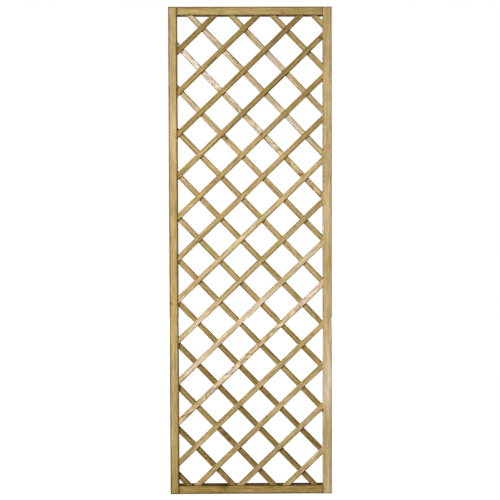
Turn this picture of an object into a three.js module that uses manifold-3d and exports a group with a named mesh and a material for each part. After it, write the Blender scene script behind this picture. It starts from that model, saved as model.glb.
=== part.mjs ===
// Diamond lattice trellis panel: two layers of crossing softwood laths housed in a grooved frame.
// Sizes are in millimetres. +Z is up, the face of the panel looks along -Y, and the origin is at
// the middle of the foot of the panel.

import * as THREE from 'three';
import { mergeVertices } from 'three/addons/utils/BufferGeometryUtils.js';
import Module from 'manifold-3d';

const wasm = await Module();
wasm.setup();

// Outside of the panel
const PANEL_WIDTH = 600;
const PANEL_HEIGHT = 1800;

// Frame timber, one grooved section cut to four lengths
const FRAME_FACE = 32;
const FRAME_DEPTH = 45;
const FRAME_ARRIS = 2;
const GROOVE_DEPTH = 10;

// Laths
const LATH_WIDTH = 20;
const LATH_THICKNESS = 8;
const LATH_ARRIS = 1;

// Lattice: the laths cross square to each other at 45 degrees, all turned a little clockwise
const LATTICE_SETBACK = 5;
const LATH_SLOPE_DEGREES = 45;
const LATTICE_TURN_DEGREES = 1.1;

// Each layer has a count of evenly spread laths. Its lowest and highest laths are set by where their
// centrelines meet the opening's side, above the foot and below the top of the panel.
const FRONT_LATHS = 14;
const FRONT_LOWEST_FROM_FOOT = 176;
const FRONT_HIGHEST_FROM_TOP = 164;
const BACK_LATHS = 15;
const BACK_LOWEST_FROM_FOOT = 82;
const BACK_HIGHEST_FROM_TOP = 64;

// The lowest lath of each layer is fixed this much below its even place
const LOWEST_LATH_DROP = 13;

// Corner screws, two at each corner, through the stile into the end of the rail
const SCREW_LENGTH = 70;
const SCREW_SHANK_RADIUS = 2.5;
const SCREW_HEAD_RADIUS = 4.75;
const SCREW_POINT_LENGTH = 6;
const SCREW_HEAD_SINK = 0.6;
const SCREW_SPACING = 22;

// Clearance between pieces that fit together, and how far a cutter runs past what it cuts
const FIT_GAP = 0.3;
const CUT_OVERRUN = 5;

// Finish colours
const FRAME_TIMBER = 0xc4a26e;
const FRONT_LATH_TIMBER = 0xc9ad7c;
const BACK_LATH_TIMBER = 0xb59458;
const SCREW_STEEL = 0xb8b49a;

// Steps in a quarter turn of an arris are twice these counts
const FRAME_ARRIS_STEPS = 2;
const LATH_ARRIS_STEPS = 1;
const SCREW_SIDES = 16;

// Sizes that follow from those above
const OPENING_WIDTH = PANEL_WIDTH - 2 * FRAME_FACE;
const OPENING_HEIGHT = PANEL_HEIGHT - 2 * FRAME_FACE;
const HOUSED_LENGTH = GROOVE_DEPTH - FIT_GAP;
const FRONT_FACE_Y = -FRAME_DEPTH / 2;
const FRONT_LAYER_Y = FRONT_FACE_Y + LATTICE_SETBACK;
const BACK_LAYER_Y = FRONT_LAYER_Y + LATH_THICKNESS + FIT_GAP;
const GROOVE_FRONT_Y = FRONT_LAYER_Y - FIT_GAP;
const GROOVE_BACK_Y = BACK_LAYER_Y + LATH_THICKNESS + FIT_GAP;
const TENON_HEIGHT = FRAME_FACE - GROOVE_DEPTH;

// Solids for cutting and joining
function toSolid(geometry) {
  const bare = geometry.clone();
  bare.deleteAttribute('normal');
  bare.deleteAttribute('uv');
  const merged = mergeVertices(bare);
  const mesh = new wasm.Mesh({
    numProp: 3,
    vertProperties: Float32Array.from(merged.getAttribute('position').array),
    triVerts: Uint32Array.from(merged.getIndex().array),
  });
  return new wasm.Manifold(mesh);
}

function toGeometry(solid) {
  const { vertProperties, triVerts } = solid.getMesh();
  const geometry = new THREE.BufferGeometry();
  geometry.setAttribute('position', new THREE.BufferAttribute(vertProperties, 3));
  geometry.setIndex(new THREE.BufferAttribute(triVerts, 1));
  geometry.computeVertexNormals();
  return geometry;
}

function cutAway(solid, cutters) {
  return cutters.reduce((rest, cutter) => rest.subtract(toSolid(cutter)), solid);
}

function block(low, high) {
  const size = high.clone().sub(low);
  const centre = low.clone().add(high).multiplyScalar(0.5);
  return new THREE.BoxGeometry(size.x, size.y, size.z).translate(centre.x, centre.y, centre.z);
}

function woodMaterial(color) {
  return new THREE.MeshStandardMaterial({ color, roughness: 0.8, metalness: 0, flatShading: true });
}

function namedMesh(name, geometry, material) {
  const mesh = new THREE.Mesh(geometry, material);
  mesh.name = name;
  return mesh;
}

// A straight bar of one section, lying along X and centred on the origin.
// The section is drawn with its own X as depth (Y of the bar) and its own Y as height (Z of the bar).
function straightBar(section, length, curveSegments) {
  const bar = new THREE.ExtrudeGeometry(section, { depth: length, bevelEnabled: false, curveSegments });
  const alongX = new THREE.Matrix4().makeBasis(
    new THREE.Vector3(0, 1, 0),
    new THREE.Vector3(0, 0, 1),
    new THREE.Vector3(1, 0, 0),
  );
  return bar.applyMatrix4(alongX).translate(-length / 2, 0, 0);
}

// Frame section: outer face at height zero, eased arrises, and the groove open to the inner face
function frameSection() {
  const left = FRONT_FACE_Y + FRAME_ARRIS;
  const right = -FRONT_FACE_Y - FRAME_ARRIS;
  const top = FRAME_FACE - FRAME_ARRIS;
  const section = new THREE.Shape();
  section.absarc(left, FRAME_ARRIS, FRAME_ARRIS, Math.PI, 1.5 * Math.PI);
  section.absarc(right, FRAME_ARRIS, FRAME_ARRIS, 1.5 * Math.PI, 2 * Math.PI);
  section.absarc(right, top, FRAME_ARRIS, 0, 0.5 * Math.PI);
  section.lineTo(GROOVE_BACK_Y, FRAME_FACE);
  section.lineTo(GROOVE_BACK_Y, TENON_HEIGHT);
  section.lineTo(GROOVE_FRONT_Y, TENON_HEIGHT);
  section.lineTo(GROOVE_FRONT_Y, FRAME_FACE);
  section.absarc(left, top, FRAME_ARRIS, 0.5 * Math.PI, Math.PI);
  section.closePath();
  return section;
}

// Lath section: centred across its width, from its front face at zero to its back face
function lathSection() {
  const low = LATH_ARRIS - LATH_WIDTH / 2;
  const high = LATH_WIDTH / 2 - LATH_ARRIS;
  const back = LATH_THICKNESS - LATH_ARRIS;
  const section = new THREE.Shape();
  section.absarc(LATH_ARRIS, low, LATH_ARRIS, Math.PI, 1.5 * Math.PI);
  section.absarc(back, low, LATH_ARRIS, 1.5 * Math.PI, 2 * Math.PI);
  section.absarc(back, high, LATH_ARRIS, 0, 0.5 * Math.PI);
  section.absarc(LATH_ARRIS, high, LATH_ARRIS, 0.5 * Math.PI, Math.PI);
  section.closePath();
  return section;
}

// Countersunk screw along Y: the flat of its head is at zero and its point is at -SCREW_LENGTH
function screwShape() {
  const headHeight = SCREW_HEAD_RADIUS - SCREW_SHANK_RADIUS;
  const profile = [
    new THREE.Vector2(0, -SCREW_LENGTH),
    new THREE.Vector2(SCREW_SHANK_RADIUS, SCREW_POINT_LENGTH - SCREW_LENGTH),
    new THREE.Vector2(SCREW_SHANK_RADIUS, -headHeight),
    new THREE.Vector2(SCREW_HEAD_RADIUS, 0),
    new THREE.Vector2(0, 0),
  ];
  return new THREE.LatheGeometry(profile, SCREW_SIDES);
}

// The hole that a screw sits in: its own outline with the fit gap all round, open past the head
function screwHole() {
  const shankRadius = SCREW_SHANK_RADIUS + FIT_GAP;
  const headRadius = SCREW_HEAD_RADIUS + FIT_GAP;
  const headHeight = headRadius - shankRadius;
  const depth = SCREW_LENGTH + FIT_GAP;
  const profile = [
    new THREE.Vector2(0, -depth),
    new THREE.Vector2(shankRadius, SCREW_POINT_LENGTH - depth),
    new THREE.Vector2(shankRadius, -headHeight),
    new THREE.Vector2(headRadius, 0),
    new THREE.Vector2(headRadius, CUT_OVERRUN),
    new THREE.Vector2(0, CUT_OVERRUN),
  ];
  return new THREE.LatheGeometry(profile, SCREW_SIDES);
}

// Screws stand at half the height of the tenon, one in front and one behind the middle of the frame
const SCREW_HEIGHT = TENON_HEIGHT / 2;
const SCREW_ROWS = [
  { name: 'front', y: -SCREW_SPACING / 2 },
  { name: 'back', y: SCREW_SPACING / 2 },
];
const BOTH_ENDS = [-1, 1];

// Stile: full height, with a countersunk hole for each screw near both ends
function makeStile() {
  const bar = toSolid(straightBar(frameSection(), PANEL_HEIGHT, FRAME_ARRIS_STEPS));
  const holes = BOTH_ENDS.flatMap((end) => SCREW_ROWS.map((row) => {
    const x = end * (PANEL_HEIGHT / 2 - SCREW_HEIGHT);
    return screwHole().rotateX(-Math.PI / 2).translate(x, row.y, SCREW_HEAD_SINK);
  }));
  return toGeometry(cutAway(bar, holes));
}

// Rail: shoulders stop at the stiles, and a stub tenon at each end fills the groove of the stile
function makeRail() {
  const length = OPENING_WIDTH + 2 * HOUSED_LENGTH;
  const bar = toSolid(straightBar(frameSection(), length, FRAME_ARRIS_STEPS));
  const shoulderX = OPENING_WIDTH / 2 - FIT_GAP;
  const endX = length / 2 + CUT_OVERRUN;
  const lowZ = -CUT_OVERRUN;
  const highZ = FRAME_FACE + CUT_OVERRUN;
  const cheeks = [
    [FRONT_FACE_Y - CUT_OVERRUN, GROOVE_FRONT_Y + FIT_GAP],
    [GROOVE_BACK_Y - FIT_GAP, -FRONT_FACE_Y + CUT_OVERRUN],
  ];
  const shoulders = BOTH_ENDS.flatMap((end) => cheeks.map(([near, far]) => {
    const lowX = Math.min(end * shoulderX, end * endX);
    const highX = Math.max(end * shoulderX, end * endX);
    return block(new THREE.Vector3(lowX, near, lowZ), new THREE.Vector3(highX, far, highZ));
  }));
  const holes = BOTH_ENDS.flatMap((end) => SCREW_ROWS.map((row) => {
    const x = end * (PANEL_WIDTH / 2 - SCREW_HEAD_SINK);
    return screwHole().rotateZ(-end * Math.PI / 2).translate(x, row.y, SCREW_HEIGHT);
  }));
  return toGeometry(cutAway(bar, [...shoulders, ...holes]));
}

// Frame: the same bar turned so that its groove always faces the lattice
function makeFrame() {
  const frame = new THREE.Group();
  const sides = [
    { name: 'left_stile', make: makeStile, turn: Math.PI / 2, x: -PANEL_WIDTH / 2, z: PANEL_HEIGHT / 2 },
    { name: 'right_stile', make: makeStile, turn: -Math.PI / 2, x: PANEL_WIDTH / 2, z: PANEL_HEIGHT / 2 },
    { name: 'bottom_rail', make: makeRail, turn: 0, x: 0, z: 0 },
    { name: 'top_rail', make: makeRail, turn: Math.PI, x: 0, z: PANEL_HEIGHT },
  ];
  for (const side of sides) {
    const mesh = namedMesh(side.name, side.make(), woodMaterial(FRAME_TIMBER));
    mesh.position.set(side.x, 0, side.z);
    mesh.rotation.y = side.turn;
    frame.add(mesh);
  }
  return frame;
}

// Heights at which the laths of one layer cross the panel's upright centreline, lowest first.
// The even step between them comes to about 109.5 mm when measured square to the laths.
function crossingHeights(angle, count, lowestFromFoot, highestFromTop) {
  const reach = Math.tan(angle) * OPENING_WIDTH / 2;
  const lowest = lowestFromFoot - reach;
  const highest = PANEL_HEIGHT - highestFromTop + reach;
  const step = (highest - lowest) / (count - 1);
  const heights = Array.from({ length: count }, (unused, index) => lowest + index * step);
  heights[0] -= LOWEST_LATH_DROP;
  return heights;
}

// One layer of laths. Each lath is cut off along the bottom of the groove that houses its ends.
function makeLayer({ name, slope, angle, faceY, heights, color }) {
  const layer = new THREE.Group();
  layer.position.y = faceY;
  layer.rotation.y = -slope * angle;
  const turned = new THREE.Matrix4().makeRotationY(layer.rotation.y);
  const stock = toSolid(straightBar(lathSection(), 2 * PANEL_WIDTH, LATH_ARRIS_STEPS));
  const housedX = OPENING_WIDTH / 2 + HOUSED_LENGTH;
  const housed = block(
    new THREE.Vector3(-housedX, -CUT_OVERRUN, FRAME_FACE - HOUSED_LENGTH),
    new THREE.Vector3(housedX, LATH_THICKNESS + CUT_OVERRUN, FRAME_FACE + OPENING_HEIGHT + HOUSED_LENGTH),
  );
  heights.forEach((height, index) => {
    const place = new THREE.Vector3(slope * height * Math.sin(angle), 0, height * Math.cos(angle));
    const toLath = turned.clone().multiply(new THREE.Matrix4().setPosition(place)).invert();
    const lath = stock.intersect(toSolid(housed.clone().applyMatrix4(toLath)));
    const number = String(index + 1).padStart(2, '0');
    const mesh = namedMesh(`${name}_${number}`, toGeometry(lath), woodMaterial(color));
    mesh.position.copy(place);
    layer.add(mesh);
  });
  return layer;
}

// Lattice: front laths rise to the right and back laths fall to the right
function makeLattice() {
  const lattice = new THREE.Group();
  const frontAngle = THREE.MathUtils.degToRad(LATH_SLOPE_DEGREES - LATTICE_TURN_DEGREES);
  const backAngle = THREE.MathUtils.degToRad(LATH_SLOPE_DEGREES + LATTICE_TURN_DEGREES);
  lattice.add(makeLayer({
    name: 'front_lath',
    slope: 1,
    angle: frontAngle,
    faceY: FRONT_LAYER_Y,
    heights: crossingHeights(frontAngle, FRONT_LATHS, FRONT_LOWEST_FROM_FOOT, FRONT_HIGHEST_FROM_TOP),
    color: FRONT_LATH_TIMBER,
  }));
  lattice.add(makeLayer({
    name: 'back_lath',
    slope: -1,
    angle: backAngle,
    faceY: BACK_LAYER_Y,
    heights: crossingHeights(backAngle, BACK_LATHS, BACK_LOWEST_FROM_FOOT, BACK_HIGHEST_FROM_TOP),
    color: BACK_LATH_TIMBER,
  }));
  return lattice;
}

// Corner screws, driven from the outer faces of the stiles
function makeScrews() {
  const screws = new THREE.Group();
  const corners = [
    { name: 'bottom_left', end: -1, z: SCREW_HEIGHT },
    { name: 'bottom_right', end: 1, z: SCREW_HEIGHT },
    { name: 'top_left', end: -1, z: PANEL_HEIGHT - SCREW_HEIGHT },
    { name: 'top_right', end: 1, z: PANEL_HEIGHT - SCREW_HEIGHT },
  ];
  for (const corner of corners) {
    for (const row of SCREW_ROWS) {
      const steel = new THREE.MeshStandardMaterial({ color: SCREW_STEEL, roughness: 0.4, metalness: 1 });
      const screw = namedMesh(`${corner.name}_${row.name}_screw`, screwShape(), steel);
      screw.position.set(corner.end * (PANEL_WIDTH / 2 - SCREW_HEAD_SINK), row.y, corner.z);
      screw.rotation.z = -corner.end * Math.PI / 2;
      screws.add(screw);
    }
  }
  return screws;
}

const trellis = new THREE.Group();
trellis.add(makeFrame(), makeLattice(), makeScrews());

export default trellis;
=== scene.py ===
# Diamond lattice trellis panel in treated softwood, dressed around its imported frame.
# Lengths are in metres, +Z is up and the face of the panel looks along -Y.

import math
import random
from collections import namedtuple

import bmesh
import bpy
from mathutils import Matrix, Vector, noise


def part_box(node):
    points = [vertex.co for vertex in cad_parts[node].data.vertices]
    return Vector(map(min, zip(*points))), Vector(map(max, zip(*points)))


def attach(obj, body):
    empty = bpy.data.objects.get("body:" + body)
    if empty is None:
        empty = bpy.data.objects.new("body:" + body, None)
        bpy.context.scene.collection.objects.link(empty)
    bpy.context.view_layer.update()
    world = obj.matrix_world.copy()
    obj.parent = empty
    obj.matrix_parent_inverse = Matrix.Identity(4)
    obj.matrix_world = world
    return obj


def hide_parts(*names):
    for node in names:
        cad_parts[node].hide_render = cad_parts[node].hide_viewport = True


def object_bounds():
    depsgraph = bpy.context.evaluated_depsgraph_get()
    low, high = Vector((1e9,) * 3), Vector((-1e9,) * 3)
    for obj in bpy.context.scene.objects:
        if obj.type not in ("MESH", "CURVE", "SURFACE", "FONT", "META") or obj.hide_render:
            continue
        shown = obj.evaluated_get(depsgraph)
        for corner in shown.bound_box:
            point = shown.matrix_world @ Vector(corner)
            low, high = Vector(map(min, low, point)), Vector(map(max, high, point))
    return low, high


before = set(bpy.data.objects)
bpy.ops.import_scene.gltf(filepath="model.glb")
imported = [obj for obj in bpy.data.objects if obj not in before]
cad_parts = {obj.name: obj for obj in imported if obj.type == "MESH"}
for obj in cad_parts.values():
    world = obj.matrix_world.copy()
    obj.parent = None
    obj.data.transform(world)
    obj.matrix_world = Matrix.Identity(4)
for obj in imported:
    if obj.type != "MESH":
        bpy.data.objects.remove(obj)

MM = 0.001
cad_low, cad_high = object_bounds()


# Camera, with the place, tilt and lens that give the photograph's view

CAMERA_PLACE = Vector((-0.0437, -5.1, 1.1318))
CAMERA_DROP = math.radians(2.525)
CAMERA_TURN = math.radians(0.469)
CAMERA_ROLL = math.radians(-0.163)
CAMERA_LENS = 99.18
CAMERA_SENSOR = 36.0
CAMERA_REACH = 100


def make_camera():
    """A long lens a little above the middle of the panel, tipped down and turned a little right."""
    ahead = Vector((
        math.sin(CAMERA_TURN) * math.cos(CAMERA_DROP),
        math.cos(CAMERA_TURN) * math.cos(CAMERA_DROP),
        -math.sin(CAMERA_DROP),
    ))
    level = Vector((math.cos(CAMERA_TURN), -math.sin(CAMERA_TURN), 0))
    right = level * math.cos(CAMERA_ROLL) + level.cross(ahead) * math.sin(CAMERA_ROLL)
    up = right.cross(ahead)
    data = bpy.data.cameras.new("camera")
    data.lens = CAMERA_LENS
    data.sensor_width = CAMERA_SENSOR
    data.clip_end = CAMERA_REACH
    camera = bpy.data.objects.new("camera", data)
    turned = Matrix((right, up, -ahead)).transposed().to_4x4()
    camera.matrix_world = Matrix.Translation(CAMERA_PLACE) @ turned
    bpy.context.scene.collection.objects.link(camera)
    bpy.context.scene.camera = camera


# Node trees: sums on sockets read as plain maths, and every other node comes from Bench.node

class Flow:
    """One output socket of a node tree."""

    def __init__(self, bench, socket):
        self.bench = bench
        self.socket = socket

    def __add__(self, other):
        return self.bench.sum("ADD", self, other)

    def __radd__(self, other):
        return self.bench.sum("ADD", other, self)

    def __sub__(self, other):
        return self.bench.sum("SUBTRACT", self, other)

    def __rsub__(self, other):
        return self.bench.sum("SUBTRACT", other, self)

    def __mul__(self, other):
        return self.bench.sum("MULTIPLY", self, other)

    def __rmul__(self, other):
        return self.bench.sum("MULTIPLY", other, self)

    def __truediv__(self, other):
        return self.bench.sum("DIVIDE", self, other)

    def __rtruediv__(self, other):
        return self.bench.sum("DIVIDE", other, self)


class Bench:
    """A node tree being built."""

    def __init__(self, tree):
        self.tree = tree
        tree.nodes.clear()

    def node(self, kind, settings=None, sockets=None, out=0):
        """Adds a node: its settings are set first, then its sockets get values or links. A list
        gives several links to one socket."""
        made = self.tree.nodes.new(kind)
        for name, value in (settings or {}).items():
            setattr(made, name, value)
        for key, given in (sockets or {}).items():
            for value in given if isinstance(given, list) else [given]:
                if isinstance(value, Flow):
                    self.tree.links.new(value.socket, made.inputs[key])
                else:
                    made.inputs[key].default_value = value
        return Flow(self, made.outputs[out]) if made.outputs else None

    def sum(self, operation, *terms):
        return self.node("ShaderNodeMath", {"operation": operation}, dict(enumerate(terms)))

    def step(self, value, low, high, start=0.0, end=1.0):
        """A soft step from start to end as value goes from low to high."""
        sockets = {"Value": value, "From Min": low, "From Max": high, "To Min": start, "To Max": end}
        return self.node("ShaderNodeMapRange", {"interpolation_type": "SMOOTHSTEP"}, sockets)

    def fade(self, value, low, high, start=1.0):
        """A soft step from start down to nothing as value goes from low to high."""
        return self.step(value, low, high, start, 0.0)

    def parts(self, vector):
        whole = self.node("ShaderNodeSeparateXYZ", {}, {0: vector})
        return [Flow(self, socket) for socket in whole.socket.node.outputs]

    def vector(self, x, y, z):
        return self.node("ShaderNodeCombineXYZ", {}, {0: x, 1: y, 2: z})

    def noise(self, place, grid, detail=2.0, roughness=0.5):
        """Soft noise around 0.5, with so many cells to the metre each way."""
        spread = self.node("ShaderNodeVectorMath", {"operation": "MULTIPLY"}, {0: place, 1: grid})
        sockets = {"Vector": spread, "Scale": 1.0, "Detail": detail, "Roughness": roughness}
        return self.node("ShaderNodeTexNoise", {"noise_dimensions": "3D"}, sockets)

    def mix(self, factor, first, second, way="MIX"):
        settings = {"data_type": "RGBA", "blend_type": way, "clamp_factor": True}
        return self.node("ShaderNodeMix", settings, {0: factor, 6: first, 7: second}, out=2)

    def tint(self, share, colour, tint):
        """The colour, multiplied by a tint where share is one."""
        return self.mix(share, colour, self.mix(1.0, colour, tint, "MULTIPLY"))

    def attribute(self, name, out="Vector"):
        return self.node("ShaderNodeAttribute", {"attribute_name": name}, {}, out=out)


def new_material(name):
    material = bpy.data.materials.new(name)
    material.use_nodes = True
    return material, Bench(material.node_tree)


def finish_surface(bench, constants, changing):
    """The shader and the output: constants are set on its own sockets, changing ones are linked."""
    shader = bench.node("ShaderNodeBsdfPrincipled", {}, {**constants, **changing})
    bench.node("ShaderNodeOutputMaterial", {}, {"Surface": shader})


def srgb(red, green, blue):
    """A colour given in screen values from 0 to 255, as the linear values that shaders use."""
    parts = [value / 255 for value in (red, green, blue)]
    return tuple(part / 12.92 if part <= 0.04045 else ((part + 0.055) / 1.055) ** 2.4 for part in parts)


def four(colour):
    """The colour with full alpha."""
    return (*colour, 1.0)


# Timber tones, as the lit face of each looks, from the most bleached to the brownest

TONES = {
    "cream": srgb(226, 211, 195),
    "pale": srgb(214, 197, 171),
    "straw": srgb(202, 181, 140),
    "tan": srgb(188, 166, 118),
    "sand": srgb(180, 157, 106),
    "ochre": srgb(172, 148, 93),
    "brown": srgb(163, 140, 84),
    "umber": srgb(152, 127, 70),
}
TONE_NAMES = list(TONES)

# Treated softwood

# Growth rings, fibre, treatment blotches and knots are placed by attributes of the mesh. grain is a
# place in the log (along it, and across it from the pith). section is the place in the timber's own
# section (across and through it, each from -1 to 1, and how far the nearer end is). knot is the place
# from the nearest knot, with its radius. tone is the timber's own colour there, and its alpha is how
# dark the painted shade on the arrises is.

KNOT_HEART = four(srgb(96, 70, 32))
KNOT_RIM = four(srgb(68, 50, 24))

# Tints, which multiply the colour that they fall on
GREEN_TINT = four((0.72, 0.81, 0.48))
WARM_TINT = four((0.99, 0.80, 0.54))
PINK_TINT = four((1.18, 1.08, 1.24))
BAND_TINT = four((0.80, 0.74, 0.57))
LATE_TINT = four((0.48, 0.38, 0.23))
# Painted shade on the arrises, partly standing for a stain
ARRIS_SHADE_TINT = four((0.42, 0.35, 0.22))
# Painted shade on level faces and in the grooves
PAINTED_SHADE_TINT = four((0.13, 0.09, 0.035))

# Noises: cells to the metre along, across and through the log, detail, and roughness where it isn't 0.5
DRIFT_NOISE = ((3.4, 8, 8), 1.0)
WANDER_NOISE = ((14, 70, 70), 2.0)
YEARS_NOISE = ((0.8, 40, 40), 1.0)
SAWN_NOISE = ((9, 30, 30), 1.0)
RAGGED_NOISE = ((160, 160, 160), 2.0)
FIBRE_NOISE = ((40, 1300, 1300), 2.0, 0.6)
STREAK_NOISE = ((18, 200, 200), 3.0, 0.6)

# Treatment blotches: where each noise starts in the log, its grid, the levels of the noise between
# which the blotch comes in, and its tint
BLOTCHES = (
    ((0, 0, 0), (16, 150, 150), (0.46, 0.62), GREEN_TINT),
    ((3.1, 1.7, 0.4), (18, 190, 190), (0.48, 0.64), WARM_TINT),
    ((5.3, 0.9, 2.2), (12, 120, 120), (0.48, 0.66), PINK_TINT),
    ((7.7, 4.1, 1.3), (2.5, 110, 110), (0.46, 0.60), BAND_TINT),
)
BLOTCH_DETAIL = 5.0
BLOTCH_ROUGHNESS = 0.62

# How blue a tone is where the blotches start to fail on it and where they are faintest
PALE_TONES = (0.25, 0.6)
PALEST_BLOTCH = 0.25

# Rings: how far they drift and wander, where in a year's growth the dark wood comes in and ends, and
# the lean years, in which it is faint
RING_DRIFT = 22 * MM
RING_WANDER = 2 * MM
LATE_STARTS = (0.45, 0.90)
LATE_ENDS = (0.93, 1.0)
LEAN_YEARS = (0.3, 0.65)
LEANEST = 0.35

# Knots: they are ovals, because the square of a distance along the grain counts for less. Ranges are
# counted in the knot's own radii
ALONG_COUNTS = 0.6
KNOT_RAGGED = 0.5
KNOT_BULGE = 1.5
KNOT_BULGE_FALLS = 0.16
KNOT_RINGS = 4
KNOT_RING_SHARE = 0.6
KNOT_HALO = (1.0, 3.0)
KNOT_EDGE = (0.85, 1.0)
KNOT_DARKNESS = 0.9
KNOT_RIM_STARTS = (0.78, 0.95)
KNOT_RIM_ENDS = (1.0, 1.25)
KNOT_RIM_SHARE = 0.6

# Painted shade. The arrises get a dark tint, partly a stain and mostly painted shade, which fades over
# shares of its reach. A level face is one whose normal points nearly up or down, and it gets painted
# shade, most on a frame timber's inner side and a lath's lower one. Faces inside the timber's full
# section, as those of the grooves, get painted shade that darkens with their depth
ARRIS_SHADE_FADES = (0.35, 1.0)
ARRIS_SHADE_RAGGED = 0.4
LEVEL_FACE = (0.2, 0.65)
OUTER_SHADE = 0.25
END_SHADE = 0.35
HOLLOW_SHADE_DEPTHS = (0.3 * MM, 2.5 * MM)
END_GRAIN = (0, 1 * MM)

# Shade and relief of the fibres, streaks, rings and saw marks, and the sheen of the wood
STREAK_LIGHT = 1.04
FIBRE_LIGHT = 0.80
FIBRE_SHARE = 0.44
SAW_PITCH = 2.4 * MM
SAW_SLANT = 0.3
SAW_RAGGED = 1.5
SAWN_LEVELS = (0.45, 0.62)
SAWN_FROM_SIDE = (1 * MM, 3 * MM)
FIBRE_RELIEF = 0.6
STREAK_RELIEF = 0.4
RING_RELIEF = 0.5
SAW_RELIEF = 0.4
RELIEF_STRENGTH = 0.5
RELIEF_DEPTH = 0.25 * MM
WOOD_SHEEN = 0.18
WOOD_ROUGHNESS = 0.66
FIBRE_ROUGHNESS = 0.16
RING_POLISH = 0.06

# How a timber was cut and kept: half its face and half its depth, how far the painted shade reaches in
# from its arrises, the gap between its rings, how dark the painted shade on its level faces is, how deep
# the saw marks are
Cut = namedtuple("Cut", "half_sizes arris_reach ring_gap weathering sawn")

# How strongly the rings, streaks and blotches of a wood show, and how short the blotches are
Wood = namedtuple("Wood", "cut rings streaks blotches blotch_shortness")


def nearest_knot(bench, ragged):
    """How far the nearest knot is, counted in its own radii, and how far it bulges the rings."""
    along, across, radius = bench.parts(bench.attribute("knot"))
    reach = bench.sum("SQRT", along * along * ALONG_COUNTS + across * across)
    distance = reach / radius * (1 - KNOT_RAGGED / 2 + KNOT_RAGGED * ragged)
    bulge = radius * KNOT_BULGE * bench.sum("EXPONENT", distance * distance * -KNOT_BULGE_FALLS)
    return distance, bulge


def late_wood(bench, grain, bulge, ring_gap):
    """The dark late wood of the growth rings, which is fainter in lean years."""
    along, across, through = bench.parts(grain)
    drift = bench.noise(grain, *DRIFT_NOISE) - 0.5
    wander = bench.noise(grain, *WANDER_NOISE) - 0.5
    from_pith = bench.sum("SQRT", across * across + through * through)
    growth = from_pith + drift * RING_DRIFT + wander * RING_WANDER + bulge
    season = bench.sum("FRACT", growth / ring_gap)
    late = bench.step(season, *LATE_STARTS) * bench.fade(season, *LATE_ENDS)
    years = bench.noise(grain, *YEARS_NOISE)
    return late * bench.step(years, *LEAN_YEARS, LEANEST, 1.0)


def blotched(bench, colour, grain, tone, wood):
    """The colour under the treatment's blotches, which are faint on the palest wood."""
    clean = bench.step(bench.parts(tone)[2], *PALE_TONES, 1.0, PALEST_BLOTCH)
    for start, grid, levels, tint in BLOTCHES:
        moved = bench.node("ShaderNodeVectorMath", {"operation": "ADD"}, {0: grain, 1: start})
        shortened = (grid[0] * wood.blotch_shortness, grid[1], grid[2])
        cloud = bench.noise(moved, shortened, BLOTCH_DETAIL, BLOTCH_ROUGHNESS)
        blotch = bench.step(cloud, *levels, 0.0, wood.blotches)
        colour = bench.tint(blotch * clean, colour, tint)
    return colour


def knotted(bench, colour, tone, distance):
    """The colour with the nearest knot's halo, ringed heart and dark rim."""
    rings = bench.sum("FRACT", distance * KNOT_RINGS)
    heart = bench.mix(rings * KNOT_RING_SHARE, KNOT_HEART, bench.mix(1.0, tone, WARM_TINT, "MULTIPLY"))
    colour = bench.tint(bench.fade(distance, *KNOT_HALO, KNOT_DARKNESS), colour, BAND_TINT)
    colour = bench.mix(bench.fade(distance, *KNOT_EDGE, KNOT_DARKNESS), colour, heart)
    rim = bench.step(distance, *KNOT_RIM_STARTS) * bench.fade(distance, *KNOT_RIM_ENDS)
    return bench.mix(rim * KNOT_RIM_SHARE, colour, KNOT_RIM)


def with_painted_shade(bench, colour, cut, streak, from_side):
    """The colour with painted shade on the arrises (partly a stain), in the hollows and on level faces."""
    across, through, end_distance = bench.parts(bench.attribute("section"))
    from_face = (1 - bench.sum("ABSOLUTE", through)) * cut.half_sizes[1] * 2
    nearer = bench.sum("MINIMUM", from_side, from_face)
    farther = bench.sum("MAXIMUM", from_side, from_face)
    from_arris = bench.sum("MAXIMUM", nearer, bench.sum("MINIMUM", farther, end_distance))
    # The arrises get painted shade, partly a stain, as dark as the tone's alpha says
    arris_shade = bench.fade(from_arris / cut.arris_reach + (streak - 0.5) * ARRIS_SHADE_RAGGED, *ARRIS_SHADE_FADES)
    colour = bench.tint(arris_shade * bench.attribute("tone", "Alpha"), colour, ARRIS_SHADE_TINT)

    # Level faces and the faces of the grooves get painted shade
    facing = bench.node("ShaderNodeNewGeometry", {}, {}, out="Normal")
    slope = bench.sum("ABSOLUTE", bench.parts(facing)[2])
    side_shade = bench.step(across, -1, 1, 1.0, OUTER_SHADE)
    shade_share = side_shade + bench.fade(end_distance, *END_GRAIN) * (END_SHADE - side_shade)
    level_shade = bench.step(slope, *LEVEL_FACE, 0.0, cut.weathering) * shade_share
    hollow_shade = bench.step(nearer, *HOLLOW_SHADE_DEPTHS) * bench.step(end_distance, *END_GRAIN)
    return bench.tint(bench.sum("MAXIMUM", level_shade, hollow_shade), colour, PAINTED_SHADE_TINT)


def saw_marks(bench, grain, cut, ragged, from_side):
    """Slanted ridges of the saw, in rough stretches away from the sides."""
    along, across, through = bench.parts(grain)
    slant = (along + across * SAW_SLANT) * (math.tau / SAW_PITCH)
    rough = bench.step(bench.noise(grain, *SAWN_NOISE), *SAWN_LEVELS, 0.0, cut.sawn)
    return bench.sum("SINE", slant + ragged * SAW_RAGGED) * rough * bench.step(from_side, *SAWN_FROM_SIDE)


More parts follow.
